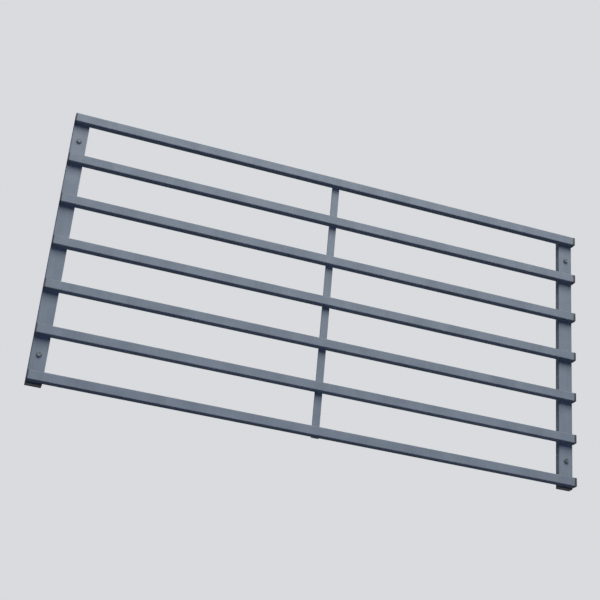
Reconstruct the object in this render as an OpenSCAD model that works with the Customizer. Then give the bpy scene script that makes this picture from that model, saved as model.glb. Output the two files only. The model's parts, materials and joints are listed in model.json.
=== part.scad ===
// Juliet balcony: seven level tubes in front of two wall posts, stiffened by
// a flat bar at mid length. Everything is steel tube with plastic end plugs.
// The origin is on the wall face of the left post, at the height of the
// middle rail. X runs along the wall, Y points into the wall, Z is up.

/* [Railing] */
// Width of the railing, over the outer sides of its posts
railing_w = 1810; // [900:10:2600]
// Height of the railing, from the bottom rail's underside to the top rail's top
railing_h = 930; // [700:5:1100]
// Number of rails
rail_count = 7; // [5:1:9]

/* [Rail tube] */
// Height of a rail tube
rail_h = 30; // [20:1:50]
// Depth of a rail tube, from its front to its back
rail_d = 25; // [20:1:50]
// Distance that the ends of a rail tube stay inside the outer sides of the posts
rail_inset = 2.5; // [0:0.1:4]

/* [Post tube] */
// Width of a post tube, along the wall
post_w = 50; // [40:1:80]
// Depth of a post tube, from the wall to the back of the rails
post_d = 25; // [20:1:50]

/* [Tube walls] */
// Wall thickness of every tube
tube_wall = 2; // [1.5:0.1:3]
// Outer corner radius of every tube
tube_corner_r = 3; // [2:0.1:4.5]

/* [Centre bar] */
// Width of the flat bar that ties the rails together at mid length
bar_w = 25; // [15:1:40]
// Thickness of the flat bar
bar_t = 5; // [3:0.5:8]
// Radius of the flat bar's rolled edges
bar_edge_r = 1; // [0.5:0.1:1.4]

/* [Anchor holes] */
// Diameter of the holes through a post for its wall anchors
anchor_hole_d = 11; // [7:0.5:14]
// Rails from the end rail down or up to the bay that holds an anchor
anchor_bay = 1; // [1:1:2]

/* [End plugs] */
// Thickness of the head that closes a tube
plug_head_t = 4; // [2.5:0.1:6]
// Radius that rounds the head's outer edge
plug_edge_r = 1.5; // [0.5:0.1:2.2]
// Length of the sleeve inside the tube
plug_sleeve_l = 16; // [10:0.5:30]
// Wall thickness of the sleeve
plug_sleeve_wall = 1.6; // [1:0.1:2.5]
// Number of ribs around the sleeve
plug_rib_count = 3; // [1:1:5]
// Thickness of a rib
plug_rib_t = 1; // [0.6:0.1:1.6]
// Height of a rib above the sleeve
plug_rib_h = 0.9; // [0.4:0.1:1.5]
// Gap between a rib and the inside of the tube
plug_fit = 0.1; // [0.05:0.05:0.3]

/* [Welds] */
// Leg of the fillet welds between the rails and what carries them
weld_leg = 4; // [2.5:0.1:6]
// Distance that a weld stays back from the round edges of a post or the bar
weld_inset = 1; // [0.5:0.5:4]

/* [Hidden] */
$fn = 48;
rail_pitch = (railing_h - rail_h) / (rail_count - 1);
top_rail_z = (railing_h - rail_h) / 2;
left_post_x = 0;
right_post_x = railing_w - post_w;
bar_x = (left_post_x + right_post_x) / 2;
rail_l = railing_w - 2 * rail_inset;
rail_y = -post_d - rail_d / 2;
post_y = -post_d / 2;
anchor_z = top_rail_z - (anchor_bay - 1 / 2) * rail_pitch;
tube_inner_r = max(tube_corner_r - tube_wall, 0.5);
cut = 1;

rail_ids = [for (i = [1 : rail_count]) i];
ends = ["left", "right"];

function rail_z(i) = top_rail_z - (i - 1) * rail_pitch;

// Rectangle with round corners, centred on the origin
module rounded_rect(w, h, r) {
    square([w - 2 * r, h], center = true);
    square([w, h - 2 * r], center = true);
    for (x = [-1, 1], y = [-1, 1])
        translate([x * (w / 2 - r), y * (h / 2 - r)])
            circle(r);
}

// Section of a rectangular tube
module tube_section(w, h) {
    difference() {
        rounded_rect(w, h, tube_corner_r);
        rounded_rect(w - 2 * tube_wall, h - 2 * tube_wall, tube_inner_r);
    }
}

// Lays a shape that stands on Z along X: its X becomes Y and its Y becomes Z
module along_x() {
    rotate([90, 0, 90])
        children();
}

// Rails

module rail(i) {
    color("#717b87")
        translate([bar_x - rail_l / 2, rail_y, rail_z(i)])
            along_x()
                linear_extrude(rail_l)
                    tube_section(rail_d, rail_h);
}

// Posts

module post(x) {
    color("#717b87")
        difference() {
            translate([x, post_y, -railing_h / 2])
                linear_extrude(railing_h)
                    tube_section(post_w, post_d);
            for (z = [-anchor_z, anchor_z])
                translate([x, cut, z])
                    rotate([90, 0, 0])
                        cylinder(h = post_d + 2 * cut, d = anchor_hole_d);
        }
}

// Centre bar

module centre_bar() {
    color("#717b87")
        translate([bar_x, -post_d + bar_t / 2, -railing_h / 2])
            linear_extrude(railing_h)
                rounded_rect(bar_w, bar_t, bar_edge_r);
}

// End plugs

// Side view of the plug's head, standing on Z = 0 with a rounded outer edge
module plug_profile(w) {
    difference() {
        union() {
            translate([-w / 2, 0])
                square([w, plug_head_t - plug_edge_r]);
            translate([-w / 2 + plug_edge_r, 0])
                square([w - 2 * plug_edge_r, plug_head_t]);
            for (x = [-1, 1])
                translate([x * (w / 2 - plug_edge_r), plug_head_t - plug_edge_r])
                    circle(plug_edge_r);
        }
        translate([-w / 2, -plug_edge_r])
            square([w, plug_edge_r]);
    }
}

module plug_head(w, h) {
    intersection() {
        linear_extrude(plug_head_t)
            rounded_rect(w, h, tube_corner_r);
        translate([0, h / 2, 0])
            rotate([90, 0, 0])
                linear_extrude(h)
                    plug_profile(w);
        translate([-w / 2, 0, 0])
            along_x()
                linear_extrude(w)
                    plug_profile(h);
    }
}

// Plug for a tube of the given outer size, its head up and its sleeve down
module plug(w, h) {
    rib_w = w - 2 * tube_wall - 2 * plug_fit;
    rib_d = h - 2 * tube_wall - 2 * plug_fit;
    sleeve_w = rib_w - 2 * plug_rib_h;
    sleeve_d = rib_d - 2 * plug_rib_h;
    rib_step = plug_sleeve_l / (plug_rib_count + 1);
    plug_head(w, h);
    difference() {
        union() {
            translate([0, 0, -plug_sleeve_l])
                linear_extrude(plug_sleeve_l)
                    rounded_rect(sleeve_w, sleeve_d, tube_inner_r);
            for (k = [1 : plug_rib_count])
                translate([0, 0, -k * rib_step - plug_rib_t / 2])
                    linear_extrude(plug_rib_t)
                        rounded_rect(rib_w, rib_d, tube_inner_r);
        }
        translate([0, 0, -plug_sleeve_l - cut])
            linear_extrude(plug_sleeve_l + cut)
                square([sleeve_w - 2 * plug_sleeve_wall, sleeve_d - 2 * plug_sleeve_wall], center = true);
    }
}

module rail_cap(i, end) {
    side = end == "left" ? -1 : 1;
    color("#4b5159")
        translate([bar_x + side * rail_l / 2, rail_y, rail_z(i)])
            rotate([0, side * 90, 0])
                plug(rail_h, rail_d);
}

module post_cap(x, end) {
    side = end == "top" ? 1 : -1;
    color("#4b5159")
        translate([x, post_y, side * railing_h / 2])
            rotate([side > 0 ? 0 : 180, 0, 0])
                plug(post_w, post_d);
}

// Welds

// Section of the bead under a rail, in the corner between the rail and the
// upright behind it. Its face bulges a little, and its root fills the notch
// that the rail's round edge leaves.
module weld_section() {
    difference() {
        intersection() {
            translate([-weld_leg, -weld_leg])
                square([weld_leg, weld_leg + tube_corner_r]);
            translate([weld_leg / 2, weld_leg / 2])
                circle(norm([3 / 2 * weld_leg, weld_leg / 2]));
        }
        translate([-rail_d / 2, rail_h / 2])
            rounded_rect(rail_d, rail_h, tube_corner_r);
    }
}

// Beads in every gap between two rails: below the upper rail and above the
// lower one. The uprights end flush with the outer rails and have none there.
module welds(x, flat_w) {
    length = flat_w - 2 * weld_inset;
    for (i = [1 : rail_count - 1], below = [0, 1])
        translate([x - length / 2, -post_d, rail_z(i + 1 - below) + (1 / 2 - below) * rail_h])
            mirror([0, 0, 1 - below])
                along_x()
                    linear_extrude(length)
                        weld_section();
}

module post_welds(x) {
    color("#717b87")
        welds(x, post_w - 2 * tube_corner_r);
}

module centre_bar_welds() {
    color("#717b87")
        welds(bar_x, bar_w - 2 * bar_edge_r);
}

post(left_post_x);  // left_post
post(right_post_x);  // right_post
centre_bar();
for (i = rail_ids)
    rail(i);
for (i = rail_ids, e = ends)
    rail_cap(i, e);
for (t = ["top", "bottom"]) {
    post_cap(left_post_x, t);
    post_cap(right_post_x, t);
}
post_welds(left_post_x);  // left_post_welds
post_welds(right_post_x);  // right_post_welds
centre_bar_welds();
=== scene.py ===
import json
import math

import bmesh
import bpy
from mathutils import Matrix, Vector


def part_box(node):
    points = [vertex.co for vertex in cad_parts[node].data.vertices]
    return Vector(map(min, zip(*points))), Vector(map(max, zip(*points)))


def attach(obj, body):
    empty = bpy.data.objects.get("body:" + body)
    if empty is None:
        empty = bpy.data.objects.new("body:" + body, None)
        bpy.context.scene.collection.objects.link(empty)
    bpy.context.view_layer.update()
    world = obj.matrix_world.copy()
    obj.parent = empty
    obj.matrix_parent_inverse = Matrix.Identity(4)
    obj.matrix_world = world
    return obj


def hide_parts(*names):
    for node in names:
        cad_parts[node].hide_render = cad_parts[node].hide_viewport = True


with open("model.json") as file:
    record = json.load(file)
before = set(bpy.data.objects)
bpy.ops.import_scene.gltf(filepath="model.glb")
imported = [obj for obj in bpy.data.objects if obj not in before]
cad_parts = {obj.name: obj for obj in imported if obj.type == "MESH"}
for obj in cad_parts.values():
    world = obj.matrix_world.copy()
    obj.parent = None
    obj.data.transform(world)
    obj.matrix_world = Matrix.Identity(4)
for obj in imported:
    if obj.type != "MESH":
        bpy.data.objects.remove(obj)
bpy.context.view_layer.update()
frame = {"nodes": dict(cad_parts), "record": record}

MM = 0.001
UPRIGHTS = ["left_post", "right_post", "centre_bar"]
RAILS = sorted(n for n in frame["nodes"] if n.startswith("rail_") and not n.endswith("_cap"))
PLUGS = sorted(n for n in frame["nodes"] if n.endswith("_cap"))
HOLES = next(m for m in frame["record"]["mounts"] if m["kind"] == "bolt_pattern")
RAILING_MIDDLE = Vector(HOLES["pos_m"])

# The photo's own viewpoint, found from the straight edges of the railing. The
# aim, the tilt and the long lens bring the whole railing into the frame.
CAMERA_SPOT = Vector((-0.278, -3.638, -1.809))
CAMERA_AIM = Vector((0.797, 0.0, 0.005))
CAMERA_TILT = math.radians(5.4)
CAMERA_LENS_MM = 77.0
CAMERA_SENSOR_MM = 36.0

# The floor lies at eye height below the camera, and reaches past every view
FLOOR_Z = -3.35
FLOOR_W = 240.0
FLOOR_GLOW = 0.88

# Each lamp's place, width and height in metres, its power in watts, and its colour
LAMPS = {
    "key_softbox": ((0.85, -3.0, 2.4), 4.2, 3.4, 194.0, "#fffaf2"),
    "low_softbox": ((0.6, -3.8, -2.6), 4.0, 1.5, 34.0, "#a6beff"),
    "rear_softbox": ((3.2, 4.5, 2.6), 3.0, 3.0, 400.0, "#ffffff"),
}

# What the eye sees behind the railing, and the darkest and palest parts of the
# dome that lights it. The floor has one tone for the eye and one as light.
BACKDROP = "#d9dbde"
DOME_DARK = "#0c0e12"
DOME_PALE = "#8a929d"
FLOOR_SEEN = "#7c8085"
FLOOR_UNSEEN = "#20242a"

# Tones of a coat: its body, its clouds, its rubbed edges and the dust on it
COAT_TONES = ("#717b87", "#7b8591", "#8d969f", "#9aa0a3")
# The coat over the welds is the same paint drawn a touch paler: painted light that lifts the
# shade in the corners between the rails and the uprights
WELD_TONES_PAINTED_PALER = ("#737d89", "#7d8793", "#8f98a1", "#9aa0a3")
# The dark tone painted as shade in the joint at each rail's right end
JOINT_SHADE_TONE = "#393937"
PLASTIC_TONES = ("#3a3b3d", "#4a4b4e")
STEEL_TONES = ("#40464d", "#60686f")

# Sizes of the patterns on the coat, and the most that rubbing and dust change it
CLOUD_SIZE = 70.0 * MM
GRAIN_SIZE = 3.0 * MM
STREAK_WIDTH = 9.0 * MM
STREAK_LENGTH = 150.0 * MM
RUB_SIZE = 14.0 * MM
RUB_SHARE = 0.2
DUST_SIZE = 22.0 * MM
DUST_SHARE = 0.8
PEEL_SIZE = 5.0 * MM
PEEL_HEIGHT = 0.06 * MM
FILM_GRAIN_SIZE = 0.7 * MM
FILM_GRAIN_HEIGHT = 0.03 * MM

# Painted shade in the joint between a rail and its plug, at the rail's right end: how far
# from the tube's end it starts to fade and ends, and the size of its patches
JOINT_SHADE_SOLID = 2.0 * MM
JOINT_SHADE_REACH = 6.0 * MM
JOINT_SHADE_SIZE = 6.0 * MM

# Sizes of the patterns on the plugs and the anchors
CHALK_SIZE = 11.0 * MM
MOULD_GRAIN_SIZE = 0.6 * MM
MOULD_GRAIN_HEIGHT = 0.04 * MM
FLAKE_SIZE = 2.0 * MM
FLAKE_HEIGHT = 0.04 * MM

# Anchor: a screw with a hexagon head on a pressed flange, and a shallow dish in
# the head, whose radii are shares of the flat crown's. A fillet leads from the
# flange up to the head.
SHANK_R = 5.0 * MM
FLANGE_R = 8.75 * MM
FLANGE_RIM = 1.2 * MM
RIM_BEVEL_H = 0.24 * MM
RIM_BEVEL_W = 0.36 * MM
FLANGE_TOP = 2.0 * MM
FOOT_FILLET = 0.5 * MM
FOOT_SINK = 0.2 * MM
HEAD_FLATS = 13.0 * MM
HEAD_TOP = 6.8 * MM
HEAD_BEVEL = math.radians(30)
CROWN_R = 6.24 * MM
DISH_EDGE = 0.72
DISH_FLOOR = 0.5
DISH_DEPTH = 0.4 * MM
ANCHOR_SIDES = 72
SHARP_ANGLE = math.radians(28)
SIXTH_TURN = math.pi / 3
ANCHOR_TURN_SEED = 5

# Weld bead: a run of ripples in the corner between a rail and an upright. Its
# ends taper to a share of its size, over a share of its length.
BEAD_R = 3.3 * MM
BEAD_SIDES = 12
BEAD_INSET = 0.7 * MM
RIPPLE_STEP = 2.4 * MM
RIPPLE_DEPTH = 0.1
POINTS_PER_RIPPLE = 5.0
BEAD_WANDER = 0.25 * MM
WANDER_LENGTH = 9.0 * MM
TAPER_SIZE = 0.55
TAPER_LENGTH = 0.07
WELD_SEED = 7.0


def linear(code):
    """A colour written as sRGB hex, in linear light with alpha."""
    parts = [int(code[k:k + 2], 16) / 255 for k in (1, 3, 5)]
    return [p / 12.92 if p <= 0.04045 else ((p + 0.055) / 1.055) ** 2.4 for p in parts] + [1.0]


def socket(sockets, key):
    """The socket with this index, or the live one with this name."""
    if isinstance(key, int):
        return sockets[key]
    return next(s for s in sockets if s.name == key and s.enabled)


def add(tree, kind, settings=None, links=None):
    """A new node. A setting is a property or the value of an input, where a colour is sRGB hex.
    A link's source is a node, for its first live output, or a node and an output's key."""
    made = tree.nodes.new(kind)
    for key, value in (settings or {}).items():
        if isinstance(key, str) and hasattr(made, key):
            setattr(made, key, value)
        elif isinstance(value, str):
            socket(made.inputs, key).default_value = linear(value)
        else:
            socket(made.inputs, key).default_value = value
    for key, source in (links or {}).items():
        if isinstance(source, tuple):
            output = socket(source[0].outputs, source[1])
        else:
            output = next(s for s in source.outputs if s.enabled)
        tree.links.new(output, socket(made.inputs, key))
    return made


# Finishes

def bare_material(name):
    """A material without nodes, and its tree."""
    material = bpy.data.materials.new(name)
    material.use_nodes = True
    material.node_tree.nodes.clear()
    return material, material.node_tree


def give_surface(tree, settings, links):
    """Ends a material in a Principled shader. What is the same all over is set on its sockets."""
    shader = add(tree, "ShaderNodeBsdfPrincipled", settings, links)
    add(tree, "ShaderNodeOutputMaterial", None, {"Surface": shader})


def facing(tree, normal, axis, low, high):
    """0 to 1 as a direction turns along an axis, from its low share of it to its high one."""
    parts = add(tree, "ShaderNodeSeparateXYZ", None, {"Vector": normal})
    return add(
        tree, "ShaderNodeMapRange",
        {"From Min": low, "From Max": high, "interpolation_type": "SMOOTHSTEP"},
        {"Value": (parts, axis)},
    )


def round_edges(tree, normal):
    """1 on the round edges of the tubes, which face none of the axes, and 0 on their flats."""
    size = add(tree, "ShaderNodeVectorMath", {"operation": "ABSOLUTE"}, {0: normal})
    parts = add(tree, "ShaderNodeSeparateXYZ", None, {"Vector": size})
    wide = add(
        tree, "ShaderNodeMath", {"operation": "MAXIMUM"}, {0: (parts, "X"), 1: (parts, "Y")},
    )
    most = add(tree, "ShaderNodeMath", {"operation": "MAXIMUM"}, {0: wide, 1: (parts, "Z")})
    return add(
        tree, "ShaderNodeMapRange",
        {"From Min": 0.99, "From Max": 0.86, "interpolation_type": "SMOOTHSTEP"},
        {"Value": most},
    )


def share_of(tree, mask, pattern, share):
    """How much of a tone shows where a mask and a pattern meet."""
    both = add(tree, "ShaderNodeMath", {"operation": "MULTIPLY"}, {0: mask, 1: pattern})
    return add(tree, "ShaderNodeMath", {"operation": "MULTIPLY", 1: share}, {0: both})


def painted_joint_shade(tree, place, tube_end):
    """Painted shade: 1 at the right end of a tube along X, fading over a few millimetres, in
    patches.
    """
    along = add(tree, "ShaderNodeSeparateXYZ", None, {"Vector": place})
    near = add(
        tree, "ShaderNodeMapRange",
        {
            "From Min": tube_end - JOINT_SHADE_REACH,
            "From Max": tube_end - JOINT_SHADE_SOLID,
            "interpolation_type": "SMOOTHSTEP",
        },
        {"Value": (along, "X")},
    )
    patches = add(
        tree, "ShaderNodeTexNoise", {"Scale": 1 / JOINT_SHADE_SIZE, "Detail": 2.0}, {"Vector": place},
    )
    patchy = add(
        tree, "ShaderNodeMapRange",
        {"From Min": 0.3, "From Max": 0.6, "To Min": 0.6}, {"Value": patches},
    )
    return add(tree, "ShaderNodeMath", {"operation": "MULTIPLY"}, {0: near, 1: patchy})


def powder_coat(name, tones, tube_end=None):
    """Polyester powder coat, baked on steel: a matt skin with a fine dry grain and a faint
    orange peel. It is thinner on the round edges, where it looks a little paler, and rain
    leaves dust on what faces up."""
    body, cloud, rub, dust = tones
    material, tree = bare_material(name)
    place = (add(tree, "ShaderNodeTexCoord"), "Object")
    normal = (add(tree, "ShaderNodeNewGeometry"), "Normal")
    # Uneven film thickness clouds the tone over a hand's width
    clouds = add(
        tree, "ShaderNodeTexNoise", {"Scale": 1 / CLOUD_SIZE, "Detail": 3.0}, {"Vector": place},
    )
    cloudy = add(
        tree, "ShaderNodeMapRange", {"From Min": 0.35, "From Max": 0.65}, {"Value": clouds},
    )
    tone = add(
        tree, "ShaderNodeMix", {"data_type": "RGBA", "A": body, "B": cloud}, {"Factor": cloudy},
    )
    # The grain is 0.3 mm wide on the real coat. Its tone is drawn at 3 mm so that it shows.
    grain = add(
        tree, "ShaderNodeTexNoise", {"Scale": 1 / GRAIN_SIZE, "Detail": 4.0}, {"Vector": place},
    )
    grainy = add(
        tree, "ShaderNodeMapRange",
        {"From Min": 0.3, "From Max": 0.7, "To Max": 0.22}, {"Value": grain},
    )
    tone = add(
        tree, "ShaderNodeMix", {"data_type": "RGBA", "B": cloud}, {"Factor": grainy, "A": tone},
    )
    # Rain washes narrow upright streaks into the dust film
    stretch = add(
        tree, "ShaderNodeMapping",
        {"Scale": (1 / STREAK_WIDTH, 1 / STREAK_WIDTH, 1 / STREAK_LENGTH)}, {"Vector": place},
    )
    streaks = add(
        tree, "ShaderNodeTexNoise", {"Scale": 1.0, "Detail": 3.0}, {"Vector": stretch},
    )
    streaky = add(
        tree, "ShaderNodeMapRange",
        {"From Min": 0.48, "From Max": 0.72, "To Max": 0.1}, {"Value": streaks},
    )
    tone = add(
        tree, "ShaderNodeMix", {"data_type": "RGBA", "B": dust}, {"Factor": streaky, "A": tone},
    )
    # Edges are rubbed paler in patches
    patches = add(
        tree, "ShaderNodeTexNoise", {"Scale": 1 / RUB_SIZE, "Detail": 2.0}, {"Vector": place},
    )
    rubbed = share_of(tree, round_edges(tree, normal), patches, RUB_SHARE)
    tone = add(
        tree, "ShaderNodeMix", {"data_type": "RGBA", "B": rub}, {"Factor": rubbed, "A": tone},
    )
    # Dust settles on the faces that look up
    film = add(
        tree, "ShaderNodeTexNoise", {"Scale": 1 / DUST_SIZE, "Detail": 5.0}, {"Vector": place},
    )
    settled = share_of(tree, facing(tree, normal, "Z", low=0.7, high=0.98), film, DUST_SHARE)
    tone = add(
        tree, "ShaderNodeMix", {"data_type": "RGBA", "B": dust}, {"Factor": settled, "A": tone},
    )
    # Painted shade darkens the joint between a tube and its plug, at the tube's right end
    if tube_end is not None:
        joint_shade = painted_joint_shade(tree, place, tube_end)
        tone = add(
            tree, "ShaderNodeMix", {"data_type": "RGBA", "B": JOINT_SHADE_TONE},
            {"Factor": joint_shade, "A": tone},
        )
    # The coat is driest where dust lies on it
    rough = add(tree, "ShaderNodeMapRange", {"To Min": 0.62, "To Max": 0.8}, {"Value": grain})
    dusty = add(
        tree, "ShaderNodeMath", {"operation": "MULTIPLY_ADD", 1: 0.25}, {0: settled, 2: rough},
    )
    # Orange peel is 5 mm from hill to hill and a few hundredths high
    peel = add(
        tree, "ShaderNodeTexNoise", {"Scale": 1 / PEEL_SIZE, "Detail": 1.0}, {"Vector": place},
    )
    wavy = add(
        tree, "ShaderNodeBump", {"Strength": 0.5, "Distance": PEEL_HEIGHT}, {"Height": peel},
    )
    # The grain also roughens the skin, drawn at 0.7 mm so that it shows
    fine = add(
        tree, "ShaderNodeTexNoise", {"Scale": 1 / FILM_GRAIN_SIZE, "Detail": 2.0},
        {"Vector": place},
    )
    dry = add(
        tree, "ShaderNodeBump", {"Strength": 0.4, "Distance": FILM_GRAIN_HEIGHT},
        {"Height": fine, "Normal": wavy},
    )
    give_surface(
        tree, {"IOR": 1.5, "Specular IOR Level": 0.12},
        {"Base Color": tone, "Roughness": dusty, "Normal": dry},
    )
    return material


def moulded_polyethylene():
    """Dark grey polyethylene from an injection mould: a soft, slightly waxy sheen over a
    spark-eroded grain, paled by sunlight in clouds."""
    body, chalked = PLASTIC_TONES
    material, tree = bare_material("moulded_polyethylene")
    place = (add(tree, "ShaderNodeTexCoord"), "Object")
    chalk = add(
        tree, "ShaderNodeTexNoise", {"Scale": 1 / CHALK_SIZE, "Detail": 4.0}, {"Vector": place},
    )
    chalky = add(
        tree, "ShaderNodeMapRange", {"From Min": 0.35, "From Max": 0.75}, {"Value": chalk},
    )
    tone = add(
        tree, "ShaderNodeMix", {"data_type": "RGBA", "A": body, "B": chalked},
        {"Factor": chalky},
    )
    rough = add(tree, "ShaderNodeMapRange", {"To Min": 0.55, "To Max": 0.72}, {"Value": chalk})
    # The eroded grain is 0.1 mm wide, and is drawn at 0.6 mm so that it shows
    grain = add(
        tree, "ShaderNodeTexNoise", {"Scale": 1 / MOULD_GRAIN_SIZE, "Detail": 2.0},
        {"Vector": place},
    )
    bump = add(
        tree, "ShaderNodeBump", {"Strength": 0.5, "Distance": MOULD_GRAIN_HEIGHT},
        {"Height": grain},
    )
    give_surface(
        tree, {"IOR": 1.51, "Specular IOR Level": 0.2},
        {"Base Color": tone, "Roughness": rough, "Normal": bump},
    )
    return material


def zinc_flake_steel():
    """Screw steel under a dark zinc-flake coat: dull grey metal with a mottled, slightly sooty
    tone."""
    soot, zinc = STEEL_TONES
    material, tree = bare_material("zinc_flake_steel")
    place = (add(tree, "ShaderNodeTexCoord"), "Object")
    flakes = add(
        tree, "ShaderNodeTexNoise", {"Scale": 1 / FLAKE_SIZE, "Detail": 4.0}, {"Vector": place},
    )
    flaky = add(
        tree, "ShaderNodeMapRange", {"From Min": 0.35, "From Max": 0.65}, {"Value": flakes},
    )
    tone = add(
        tree, "ShaderNodeMix", {"data_type": "RGBA", "A": soot, "B": zinc}, {"Factor": flaky},
    )
    rough = add(tree, "ShaderNodeMapRange", {"To Min": 0.4, "To Max": 0.65}, {"Value": flakes})
    bump = add(
        tree, "ShaderNodeBump", {"Strength": 0.4, "Distance": FLAKE_HEIGHT}, {"Height": flakes},
    )
    give_surface(
        tree, {"Metallic": 0.35}, {"Base Color": tone, "Roughness": rough, "Normal": bump},
    )
    return material


def dress(nodes, material):
    """Gives CAD nodes their finish."""
    for name in nodes:
        for slot in frame["nodes"][name].material_slots:
            slot.material = material


# Making of pieces

def object_of(name, mesh):
    """An object at the origin, with its place in its mesh."""
    made = bpy.data.objects.new(name, mesh)
    bpy.context.scene.collection.objects.link(made)
    return made


def run_nodes(source, tree, values, name):
    """Runs a Geometry Nodes tree on an object and returns its result as a plain mesh object."""
    modifier = source.modifiers.new(tree.name, "NODES")
    modifier.node_group = tree
    for item in tree.interface.items_tree:
        if item.name in values:
            modifier[item.identifier] = values[item.name]
    scene_view = bpy.context.evaluated_depsgraph_get()
    mesh = bpy.data.meshes.new_from_object(source.evaluated_get(scene_view))
    mesh.name = name
    source.modifiers.remove(modifier)
    bpy.data.objects.remove(source)
    return object_of(name, mesh)


def nodes_tree(name, inputs):
    """An empty Geometry Nodes tree with named inputs, and the node that gives them."""
    tree = bpy.data.node_groups.new(name, "GeometryNodeTree")
    tree.interface.new_socket("Geometry", in_out="INPUT", socket_type="NodeSocketGeometry")
    for label, kind in inputs.items():
        tree.interface.new_socket(label, in_out="INPUT", socket_type=kind)
    tree.interface.new_socket("Geometry", in_out="OUTPUT", socket_type="NodeSocketGeometry")
    return tree, add(tree, "NodeGroupInput")


def end_tree(tree, source, material_from):
    """The tree's last steps: real geometry with its material."""
    real = add(tree, "GeometryNodeRealizeInstances", None, {"Geometry": source})
    set_material = add(
        tree, "GeometryNodeSetMaterial", None, {"Geometry": real, "Material": material_from},
    )
    add(tree, "NodeGroupOutput", None, {"Geometry": set_material})


# Anchors

def anchor_side(turn, length):
    """Radii and heights along an anchor's side, from its foot up, at one turn about Z. The
    flange rests on Z = 0, with the head above and the shank below."""
    flat = HEAD_FLATS / 2 / math.cos((turn + SIXTH_TURN / 2) % SIXTH_TURN - SIXTH_TURN / 2)
    shoulder = HEAD_TOP - (flat - CROWN_R) * math.tan(HEAD_BEVEL)
    foot = FLANGE_TOP - FOOT_SINK
    return [
        (SHANK_R, -length),
        (SHANK_R, 0.0),
        (FLANGE_R, 0.0),
        (FLANGE_R, FLANGE_RIM - RIM_BEVEL_H),
        (FLANGE_R - RIM_BEVEL_W, FLANGE_RIM),
        (flat + FOOT_FILLET, foot),
        (flat, foot + FOOT_FILLET),
        (flat, shoulder),
        (CROWN_R, HEAD_TOP),
        (CROWN_R * DISH_EDGE, HEAD_TOP),
        (CROWN_R * DISH_FLOOR, HEAD_TOP - DISH_DEPTH),
    ]


def anchor_mesh(length):
    """One anchor along Z."""
    shape = bmesh.new()
    turns = [2 * math.pi * k / ANCHOR_SIDES for k in range(ANCHOR_SIDES)]
    rings = [
        [shape.verts.new((r * math.cos(t), r * math.sin(t), z)) for t, (r, z) in zip(turns, ring)]
        for ring in zip(*(anchor_side(t, length) for t in turns))
    ]
    for lower, upper in zip(rings, rings[1:]):
        for k in range(ANCHOR_SIDES):
            j = (k + 1) % ANCHOR_SIDES
            shape.faces.new((lower[k], lower[j], upper[j], upper[k]))
    shape.faces.new(list(reversed(rings[0])))
    shape.faces.new(rings[-1])
    bmesh.ops.recalc_face_normals(shape, faces=shape.faces)
    mesh = bpy.data.meshes.new("anchor")
    shape.to_mesh(mesh)
    shape.free()
    for face in mesh.polygons:
        face.use_smooth = True
    mesh.set_sharp_from_angle(angle=SHARP_ANGLE)
    return mesh


def anchors_tree():
    """Sets an anchor on each point, its head to the front and turned by its own random angle."""
    tree, given = nodes_tree("wall_anchors", {
        "Anchor": "NodeSocketObject",
        "Seed": "NodeSocketInt",
        "Finish": "NodeSocketMaterial",
    })
    points = add(tree, "GeometryNodeMeshToPoints", None, {"Mesh": (given, "Geometry")})
    anchor = add(tree, "GeometryNodeObjectInfo", None, {"Object": (given, "Anchor")})
    turn = add(
        tree, "FunctionNodeRandomValue",
        {
            "data_type": "FLOAT_VECTOR",
            "Min": (math.pi / 2, 0, 0),
            "Max": (math.pi / 2, SIXTH_TURN, 0),
        },
        {"Seed": (given, "Seed")},
    )
    placed = add(tree, "GeometryNodeInstanceOnPoints", None, {
        "Points": points, "Instance": (anchor, "Geometry"), "Rotation": turn,
    })
    end_tree(tree, placed, (given, "Finish"))
    return tree


def wall_anchors(material):
    """An anchor through each hole of the bolt pattern, from the post's front to its back."""
    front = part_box("left_post")[0].y
    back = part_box("left_post")[1].y
    half_x = HOLES["dims"]["spacing_x_mm"] * MM / 2
    half_z = HOLES["dims"]["spacing_y_mm"] * MM / 2
    spots = [
        (RAILING_MIDDLE.x + i * half_x, front, RAILING_MIDDLE.z + k * half_z)
        for i in (-1, 1) for k in (-1, 1)
    ]
    mesh = bpy.data.meshes.new("anchor_spots")
    mesh.from_pydata(spots, [], [])
    pattern = object_of("anchor_pattern", anchor_mesh(back - front))
    made = run_nodes(object_of("anchor_spots", mesh), anchors_tree(), {
        "Anchor": pattern, "Seed": ANCHOR_TURN_SEED, "Finish": material,
    }, "wall_anchors")
    bpy.data.objects.remove(pattern)
    return made


# Weld beads

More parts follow.
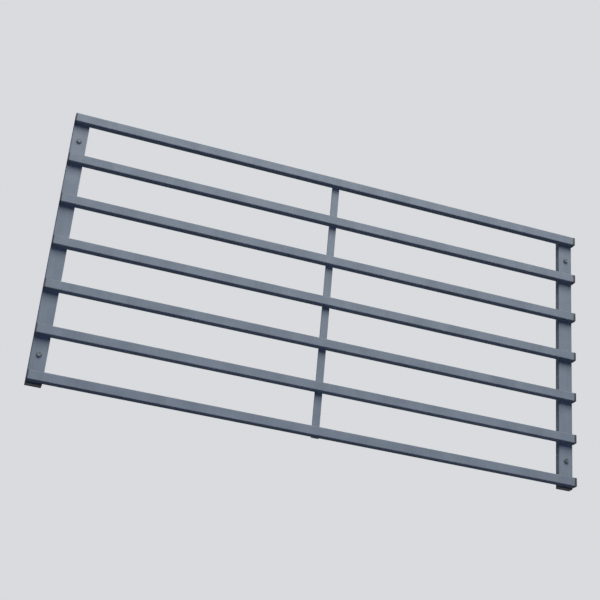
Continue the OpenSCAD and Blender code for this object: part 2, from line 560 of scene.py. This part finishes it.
def beads_tree():
    """Draws a rippled bead along each edge of the mesh it is given."""
    tree, given = nodes_tree("weld_beads", {
        "Bead Radius": "NodeSocketFloat",
        "Ripple Step": "NodeSocketFloat",
        "Ripple Depth": "NodeSocketFloat",
        "Wander": "NodeSocketFloat",
        "Seed": "NodeSocketFloat",
        "Finish": "NodeSocketMaterial",
    })
    runs = add(tree, "GeometryNodeMeshToCurve", None, {"Mesh": (given, "Geometry")})
    step = add(
        tree, "ShaderNodeMath", {"operation": "DIVIDE", 1: POINTS_PER_RIPPLE},
        {0: (given, "Ripple Step")},
    )
    fine = add(
        tree, "GeometryNodeResampleCurve", {"mode": "LENGTH"}, {"Curve": runs, "Length": step},
    )
    along = add(tree, "GeometryNodeSplineParameter")
    place = add(tree, "GeometryNodeInputPosition")
    # The hand wanders a little from the corner
    drift = add(
        tree, "ShaderNodeTexNoise",
        {"noise_dimensions": "4D", "Scale": 1 / WANDER_LENGTH, "Detail": 1.0},
        {"Vector": place, "W": (given, "Seed")},
    )
    centred = add(
        tree, "ShaderNodeVectorMath", {"operation": "SUBTRACT", 1: (0.5, 0.5, 0.5)},
        {0: (drift, "Color")},
    )
    offset = add(
        tree, "ShaderNodeVectorMath", {"operation": "SCALE"},
        {0: centred, "Scale": (given, "Wander")},
    )
    wandering = add(
        tree, "GeometryNodeSetPosition", None, {"Geometry": fine, "Offset": offset},
    )
    # Each ripple swells and then falls off sharply, as the pool freezes
    count = add(
        tree, "ShaderNodeMath", {"operation": "DIVIDE"},
        {0: (along, "Length"), 1: (given, "Ripple Step")},
    )
    phase = add(tree, "ShaderNodeMath", {"operation": "FRACT"}, {0: count})
    swell = add(tree, "ShaderNodeMath", {"operation": "POWER", 1: 2.0}, {0: phase})
    ripple = add(
        tree, "ShaderNodeMath", {"operation": "MULTIPLY"},
        {0: swell, 1: (given, "Ripple Depth")},
    )
    # Both ends of a run are drawn in
    ends = add(
        tree, "ShaderNodeMath", {"operation": "PINGPONG", 1: 0.5}, {0: (along, "Factor")},
    )
    drawn_in = add(
        tree, "ShaderNodeMapRange",
        {"From Max": TAPER_LENGTH, "To Min": TAPER_SIZE, "interpolation_type": "SMOOTHSTEP"},
        {"Value": ends},
    )
    size = add(tree, "ShaderNodeMath", {"operation": "SUBTRACT"}, {0: drawn_in, 1: ripple})
    ring = add(
        tree, "GeometryNodeCurvePrimitiveCircle", {"Resolution": BEAD_SIDES},
        {"Radius": (given, "Bead Radius")},
    )
    bead = add(
        tree, "GeometryNodeCurveToMesh", {"Fill Caps": True},
        {"Curve": wandering, "Profile Curve": ring, "Scale": size},
    )
    soft = add(tree, "GeometryNodeSetShadeSmooth", None, {"Geometry": bead})
    end_tree(tree, soft, (given, "Finish"))
    return tree


def weld_lines(welds):
    """The corner lines of an upright's welds: below the upper rail and above the lower one in
    each gap."""
    low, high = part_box(welds)
    y = high.y - BEAD_INSET
    heights = []
    for upper, lower in zip(RAILS, RAILS[1:]):
        heights.append(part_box(upper)[0].z - BEAD_INSET)
        heights.append(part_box(lower)[1].z + BEAD_INSET)
    return [((low.x, y, z), (high.x, y, z)) for z in heights]


def weld_beads(upright, tree, material):
    """Rippled beads in place of an upright's plain weld solids."""
    welds = upright + "_welds"
    points = [p for line in weld_lines(welds) for p in line]
    edges = [(k, k + 1) for k in range(0, len(points), 2)]
    mesh = bpy.data.meshes.new(welds)
    mesh.from_pydata(points, edges, [])
    made = run_nodes(object_of("weld_lines", mesh), tree, {
        "Bead Radius": BEAD_R,
        "Ripple Step": RIPPLE_STEP,
        "Ripple Depth": RIPPLE_DEPTH,
        "Wander": BEAD_WANDER,
        "Seed": WELD_SEED,
        "Finish": material,
    }, upright + "_beads")
    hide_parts(welds)
    return made


# Stage

def seen_directly(tree):
    """1 for what the camera sees, straight or in a gloss or through glass."""
    path = add(tree, "ShaderNodeLightPath")
    eye = add(
        tree, "ShaderNodeMath", {"operation": "MAXIMUM"},
        {0: (path, "Is Camera Ray"), 1: (path, "Is Glossy Ray")},
    )
    return add(
        tree, "ShaderNodeMath", {"operation": "MAXIMUM"},
        {0: eye, 1: (path, "Is Transmission Ray")},
    )


def floor():
    """A wide matt floor. To the eye it is as pale as the backdrop and still takes the railing's
    shadow. As light it is dim, so that the undersides stay dark."""
    material, tree = bare_material("studio_floor")
    seen = seen_directly(tree)
    tone = add(
        tree, "ShaderNodeMix", {"data_type": "RGBA", "A": FLOOR_UNSEEN, "B": FLOOR_SEEN},
        {"Factor": seen},
    )
    glow = add(tree, "ShaderNodeMath", {"operation": "MULTIPLY", 1: FLOOR_GLOW}, {0: seen})
    give_surface(
        tree, {"Roughness": 0.9, "Specular IOR Level": 0.1, "Emission Color": BACKDROP},
        {"Base Color": tone, "Emission Strength": glow},
    )
    # The glow is for the eye alone, so no light is sampled from it
    material.cycles.emission_sampling = "NONE"
    half = FLOOR_W / 2
    corners = [(x * half, y * half, FLOOR_Z) for x, y in ((-1, -1), (1, -1), (1, 1), (-1, 1))]
    mesh = bpy.data.meshes.new("studio_floor")
    mesh.from_pydata(corners, [], [(0, 1, 2, 3)])
    mesh.materials.append(material)
    object_of("studio_floor", mesh)


def dome():
    """Pale to the eye. As light it is a soft dome that dims below the horizon and behind the
    railing."""
    world = bpy.data.worlds.new("studio_dome")
    bpy.context.scene.world = world
    world.use_nodes = True
    tree = world.node_tree
    tree.nodes.clear()
    way = (add(tree, "ShaderNodeTexCoord"), "Generated")
    above = facing(tree, way, "Z", low=-0.2, high=0.3)
    before = facing(tree, way, "Y", low=0.5, high=-0.3)
    lit = add(tree, "ShaderNodeMath", {"operation": "MULTIPLY"}, {0: above, 1: before})
    light = add(
        tree, "ShaderNodeMix", {"data_type": "RGBA", "A": DOME_DARK, "B": DOME_PALE},
        {"Factor": lit},
    )
    tone = add(
        tree, "ShaderNodeMix", {"data_type": "RGBA", "B": BACKDROP},
        {"Factor": seen_directly(tree), "A": light},
    )
    background = add(tree, "ShaderNodeBackground", {"Strength": 1.0}, {"Color": tone})
    add(tree, "ShaderNodeOutputWorld", None, {"Surface": background})


def softbox(name, spot, width, height, power, colour):
    """A large area lamp that faces the middle of the railing. The camera doesn't see it."""
    lamp = bpy.data.lights.new(name, "AREA")
    lamp.shape = "RECTANGLE"
    lamp.size = width
    lamp.size_y = height
    lamp.energy = power
    lamp.color = linear(colour)[:3]
    made = bpy.data.objects.new(name, lamp)
    made.location = spot
    made.rotation_euler = (RAILING_MIDDLE - Vector(spot)).to_track_quat("-Z", "Y").to_euler()
    made.visible_camera = False
    bpy.context.scene.collection.objects.link(made)


def camera():
    """The photo's viewpoint. The lens has no shift and no depth of field."""
    lens = bpy.data.cameras.new("camera")
    lens.lens = CAMERA_LENS_MM
    lens.sensor_width = CAMERA_SENSOR_MM
    made = bpy.data.objects.new("camera", lens)
    made.location = CAMERA_SPOT
    aim = (CAMERA_AIM - CAMERA_SPOT).to_track_quat("-Z", "Y")
    made.rotation_euler = (aim.to_matrix() @ Matrix.Rotation(CAMERA_TILT, 3, "Z")).to_euler()
    bpy.context.scene.collection.objects.link(made)
    bpy.context.scene.camera = made


bpy.context.scene.view_settings.view_transform = "Standard"

coat = powder_coat("matt_powder_coat", COAT_TONES)
rail_coat = powder_coat("matt_powder_coat_rails", COAT_TONES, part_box(RAILS[0])[1].x)
# Painted light: the welds' coat is a touch paler than the body coat, to lift the shade in the
# corners under and over the rails
weld_coat = powder_coat("coat_over_welds", WELD_TONES_PAINTED_PALER)

dress(UPRIGHTS, coat)
dress(RAILS, rail_coat)
dress(PLUGS, moulded_polyethylene())

anchors = wall_anchors(zinc_flake_steel())
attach(anchors, "root")

bead_maker = beads_tree()
for upright in UPRIGHTS:
    beads = weld_beads(upright, bead_maker, weld_coat)
    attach(beads, "root")

floor()
dome()
for name, (spot, width, height, power, colour) in LAMPS.items():
    softbox(name, spot, width, height, power, colour)
camera()
